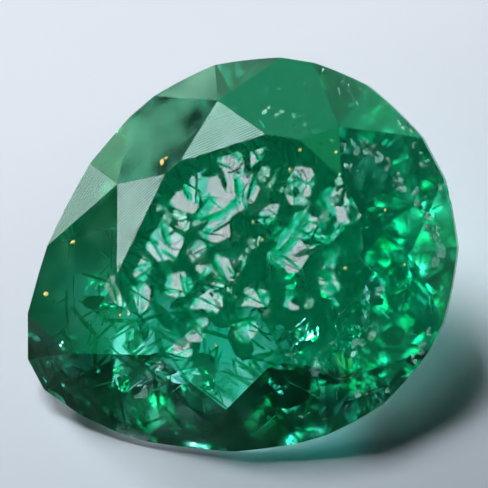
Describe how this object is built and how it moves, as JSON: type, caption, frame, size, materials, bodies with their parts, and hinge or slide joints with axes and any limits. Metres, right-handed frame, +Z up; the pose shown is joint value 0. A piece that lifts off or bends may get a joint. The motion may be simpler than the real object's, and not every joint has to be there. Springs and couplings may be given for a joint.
{
  "type": "pear cut emerald",
  "caption": "Faceted pear cut gemstone of included green crystal, with a flat table, a thin chipped girdle and a low faceted underside, lying on a facet.",
  "frame": {"origin": "centre of the bounding box's foot, on the surface that the stone lies on", "axes": "+X along the pear towards its round end, +Y to the stone's left side, +Z up from the surface"},
  "size_m": [0.0082, 0.0064, 0.004],
  "materials": {
    "emerald_crystal": "polished"
  },
  "bodies": {
    "root": {"emerald": "emerald_crystal"}
  },
  "joints": []
}
